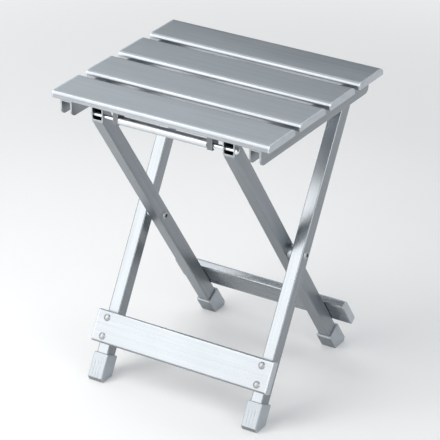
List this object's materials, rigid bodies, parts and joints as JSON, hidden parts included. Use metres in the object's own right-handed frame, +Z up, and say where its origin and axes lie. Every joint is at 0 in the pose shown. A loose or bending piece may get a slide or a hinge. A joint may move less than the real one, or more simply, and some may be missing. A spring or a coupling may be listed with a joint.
{
  "type": "folding shower stool",
  "caption": "Folding stool with a slatted metal seat, crossed tubular legs, flat cross bars and plastic feet; the seat lifts off its front rod and the legs close flat.",
  "frame": {"origin": "on the floor, straight below the axis where the legs cross, which is also the middle of the stool's footprint box", "axes": "+X to the right of someone facing the stool's front, +Y to the rear, +Z up"},
  "size_m": [0.3, 0.2766, 0.396],
  "materials": {
    "slat_aluminium": "fine brushed along the slat, clear anodised",
    "frame_aluminium": "satin anodised tube",
    "hook_steel": "zinc plated, dull",
    "rivet_steel": "smooth domed heads",
    "rod_steel": "drawn bright rod",
    "sleeve_aluminium": "satin drawn tube",
    "foot_plastic": "moulded light grey plastic",
    "cap_plastic": "moulded grey plastic",
    "spacer_steel": "turned bush",
    "washer_plastic": "dark nylon"
  },
  "bodies": {
    "outer_frame": {"left_seat_pivot": "rivet_steel", "left_seat_washer": "washer_plastic", "left_outer_leg": "frame_aluminium", "left_cross_pivot": "rivet_steel", "left_leg_spacer": "spacer_steel", "left_front_foot": "foot_plastic", "front_bar_left_cap": "cap_plastic", "right_seat_pivot": "rivet_steel", "right_seat_washer": "washer_plastic", "right_outer_leg": "frame_aluminium", "right_cross_pivot": "rivet_steel", "right_leg_spacer": "spacer_steel", "right_front_foot": "foot_plastic", "front_bar_right_cap": "cap_plastic", "front_bar": "frame_aluminium", "front_bar_rivets": "rivet_steel"},
    "inner_frame": {"left_inner_leg": "frame_aluminium", "left_rear_foot": "foot_plastic", "rear_bar_left_cap": "cap_plastic", "right_inner_leg": "frame_aluminium", "right_rear_foot": "foot_plastic", "rear_bar_right_cap": "cap_plastic", "rear_bar": "frame_aluminium", "rear_bar_rivets": "rivet_steel", "front_rod": "rod_steel", "rod_sleeve": "sleeve_aluminium", "rod_caps": "rivet_steel"},
    "seat": {"slat_1": "slat_aluminium", "slat_1_left_cap": "cap_plastic", "slat_1_right_cap": "cap_plastic", "slat_2": "slat_aluminium", "slat_2_left_cap": "cap_plastic", "slat_2_right_cap": "cap_plastic", "slat_3": "slat_aluminium", "slat_3_left_cap": "cap_plastic", "slat_3_right_cap": "cap_plastic", "slat_4": "slat_aluminium", "slat_4_left_cap": "cap_plastic", "slat_4_right_cap": "cap_plastic", "left_rail": "frame_aluminium", "left_hook": "hook_steel", "right_rail": "frame_aluminium", "right_hook": "hook_steel", "seat_rivets": "rivet_steel", "hook_rivets": "rivet_steel"}
  },
  "joints": [
    {"name": "seat_lift", "type": "hinge", "parent": "outer_frame", "child": "seat", "pos_m": [0, 0.1047, 0.373], "axis": [-1, 0, 0], "range_deg": [0, 118.28]},
    {"name": "leg_fold", "type": "hinge", "parent": "outer_frame", "child": "inner_frame", "pos_m": [0, 0, 0.19], "axis": [-1, 0, 0], "range_deg": [0, 63.27]}
  ],
  "couplings": [
    {"joint": "leg_fold", "follows": "seat_lift", "ratio": 0.5348}
  ]
}
